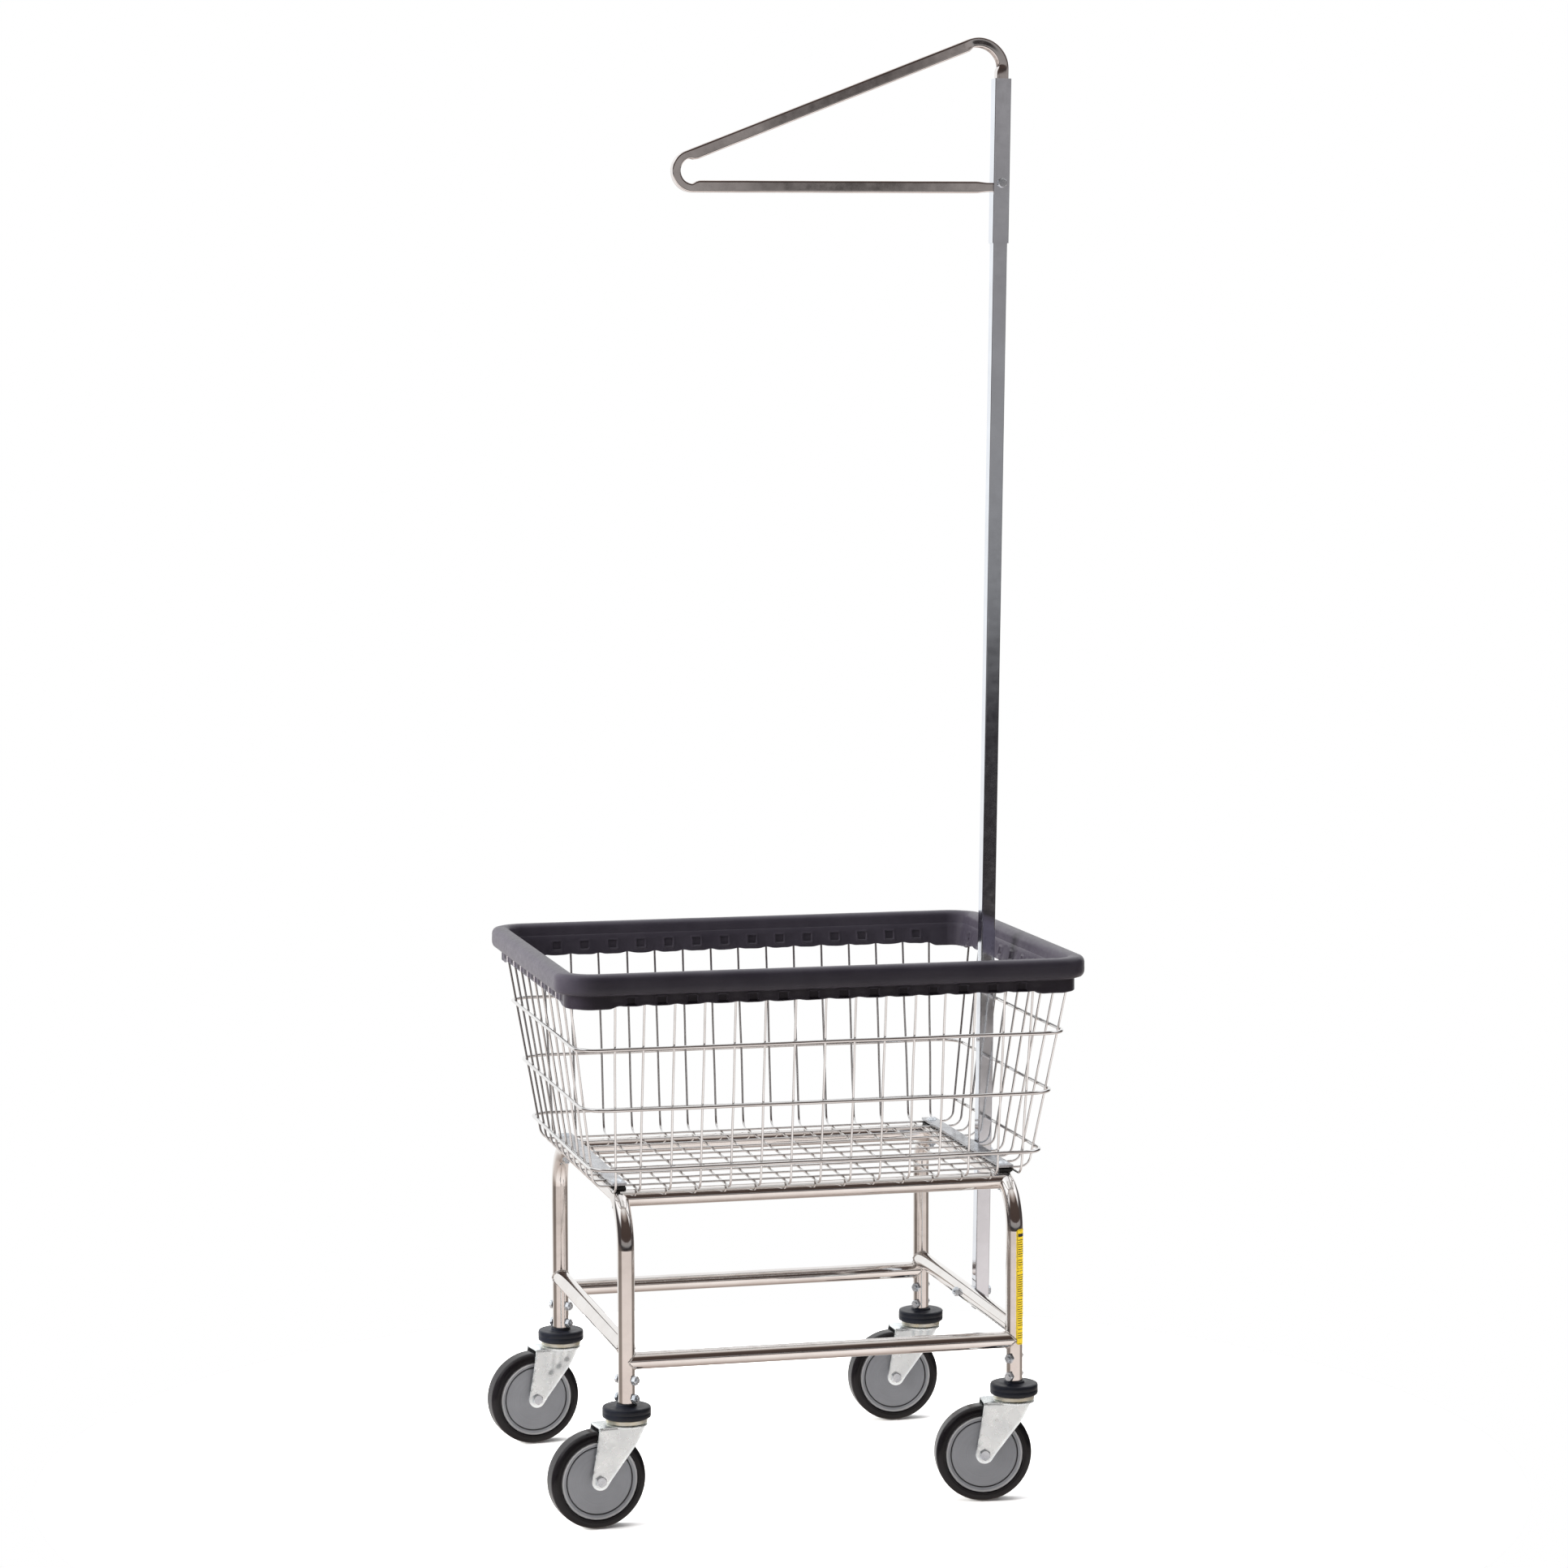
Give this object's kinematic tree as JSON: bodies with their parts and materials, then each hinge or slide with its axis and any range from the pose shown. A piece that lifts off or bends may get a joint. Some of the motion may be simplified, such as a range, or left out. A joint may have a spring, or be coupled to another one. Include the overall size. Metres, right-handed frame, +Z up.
{
  "type": "laundry cart",
  "caption": "Wheeled laundry cart: tapered wire basket with a moulded rim bumper on a tube frame with swivel casters, and a square pole carrying a triangular hanging rail.",
  "frame": {"origin": "on the floor, midway between the four legs", "axes": "+Z up; X along the long side with the pole at the +X end; -Y towards the front"},
  "size_m": [0.7172, 0.554, 1.9219],
  "materials": {
    "frame_chrome": "bright chrome plated steel tube, slightly warm",
    "wire_chrome": "bright chrome plated round wire",
    "rim_vinyl": "moulded soft bumper, satin charcoal with a purple cast",
    "zinc_bar": "zinc plated flat bar",
    "zinc_bolt": "zinc plated fasteners",
    "pad_rubber": "black rubber pad",
    "pole_steel": "chrome plated square tube, softer shine than the round tubes",
    "plug_plastic": "black plastic plug",
    "label_yellow": "yellow vinyl label with a black border and black bars",
    "zinc_fork": "bright zinc plated pressed steel",
    "ring_rubber": "black non-marking bumper ring",
    "hub_plastic": "grey moulded hub, satin",
    "tyre_rubber": "black moulded tread with a smooth, glossy skin"
  },
  "bodies": {
    "frame": {"left_end_frame": "frame_chrome", "right_end_frame": "frame_chrome", "front_bottom_rail": "frame_chrome", "back_bottom_rail": "frame_chrome", "left_side_rail": "frame_chrome", "right_side_rail": "frame_chrome", "front_top_rail": "frame_chrome", "back_top_rail": "frame_chrome", "basket_long_wires": "wire_chrome", "basket_cross_wires": "wire_chrome", "basket_hoops": "wire_chrome", "rim_bumper": "rim_vinyl", "clamp_bars": "zinc_bar", "leg_bolts": "zinc_bolt", "rack_bolts": "zinc_bolt", "clamp_bolts": "zinc_bolt", "hex_nuts": "zinc_bolt", "pole_spacer": "zinc_bolt", "clamp_pads": "pad_rubber", "rack_pole": "pole_steel", "rack_sleeve": "pole_steel", "hanger_arm": "pole_steel", "pole_foot_plug": "plug_plastic", "leg_label": "label_yellow", "caster_stem_fl": "zinc_fork", "bumper_ring_fl": "ring_rubber", "caster_stem_fr": "zinc_fork", "bumper_ring_fr": "ring_rubber", "caster_stem_bl": "zinc_fork", "bumper_ring_bl": "ring_rubber", "caster_stem_br": "zinc_fork", "bumper_ring_br": "ring_rubber"},
    "caster_fork_fl": {"fork_fl": "zinc_fork", "axle_bolt_fl": "zinc_bolt", "axle_nut_fl": "zinc_bolt", "axle_bush_fl": "zinc_bolt", "swivel_balls_fl": "zinc_bolt"},
    "wheel_fl": {"wheel_hub_fl": "hub_plastic", "tyre_fl": "tyre_rubber"},
    "caster_fork_fr": {"fork_fr": "zinc_fork", "axle_bolt_fr": "zinc_bolt", "axle_nut_fr": "zinc_bolt", "axle_bush_fr": "zinc_bolt", "swivel_balls_fr": "zinc_bolt"},
    "wheel_fr": {"wheel_hub_fr": "hub_plastic", "tyre_fr": "tyre_rubber"},
    "caster_fork_bl": {"fork_bl": "zinc_fork", "axle_bolt_bl": "zinc_bolt", "axle_nut_bl": "zinc_bolt", "axle_bush_bl": "zinc_bolt", "swivel_balls_bl": "zinc_bolt"},
    "wheel_bl": {"wheel_hub_bl": "hub_plastic", "tyre_bl": "tyre_rubber"},
    "caster_fork_br": {"fork_br": "zinc_fork", "axle_bolt_br": "zinc_bolt", "axle_nut_br": "zinc_bolt", "axle_bush_br": "zinc_bolt", "swivel_balls_br": "zinc_bolt"},
    "wheel_br": {"wheel_hub_br": "hub_plastic", "tyre_br": "tyre_rubber"}
  },
  "joints": [
    {"name": "swivel_fl", "type": "hinge", "parent": "frame", "child": "caster_fork_fl", "pos_m": [-0.26, -0.2275, 0.13], "axis": [0, 0, 1], "continuous": true},
    {"name": "wheel_spin_fl", "type": "hinge", "parent": "caster_fork_fl", "child": "wheel_fl", "pos_m": [-0.30119, -0.23256, 0.0635], "axis": [-0.1219, 0.9925, 0], "continuous": true},
    {"name": "swivel_fr", "type": "hinge", "parent": "frame", "child": "caster_fork_fr", "pos_m": [0.26, -0.2275, 0.13], "axis": [0, 0, 1], "continuous": true},
    {"name": "wheel_spin_fr", "type": "hinge", "parent": "caster_fork_fr", "child": "wheel_fr", "pos_m": [0.21885, -0.22215, 0.0635], "axis": [0.1288, 0.9917, 0], "continuous": true},
    {"name": "swivel_bl", "type": "hinge", "parent": "frame", "child": "caster_fork_bl", "pos_m": [-0.26, 0.2275, 0.13], "axis": [0, 0, 1], "continuous": true},
    {"name": "wheel_spin_bl", "type": "hinge", "parent": "caster_fork_bl", "child": "wheel_bl", "pos_m": [-0.30103, 0.22129, 0.0635], "axis": [-0.1495, 0.9888, 0], "continuous": true},
    {"name": "swivel_br", "type": "hinge", "parent": "frame", "child": "caster_fork_br", "pos_m": [0.26, 0.2275, 0.13], "axis": [0, 0, 1], "continuous": true},
    {"name": "wheel_spin_br", "type": "hinge", "parent": "caster_fork_br", "child": "wheel_br", "pos_m": [0.2185, 0.22728, 0.0635], "axis": [-0.0052, 1, 0], "continuous": true}
  ]
}
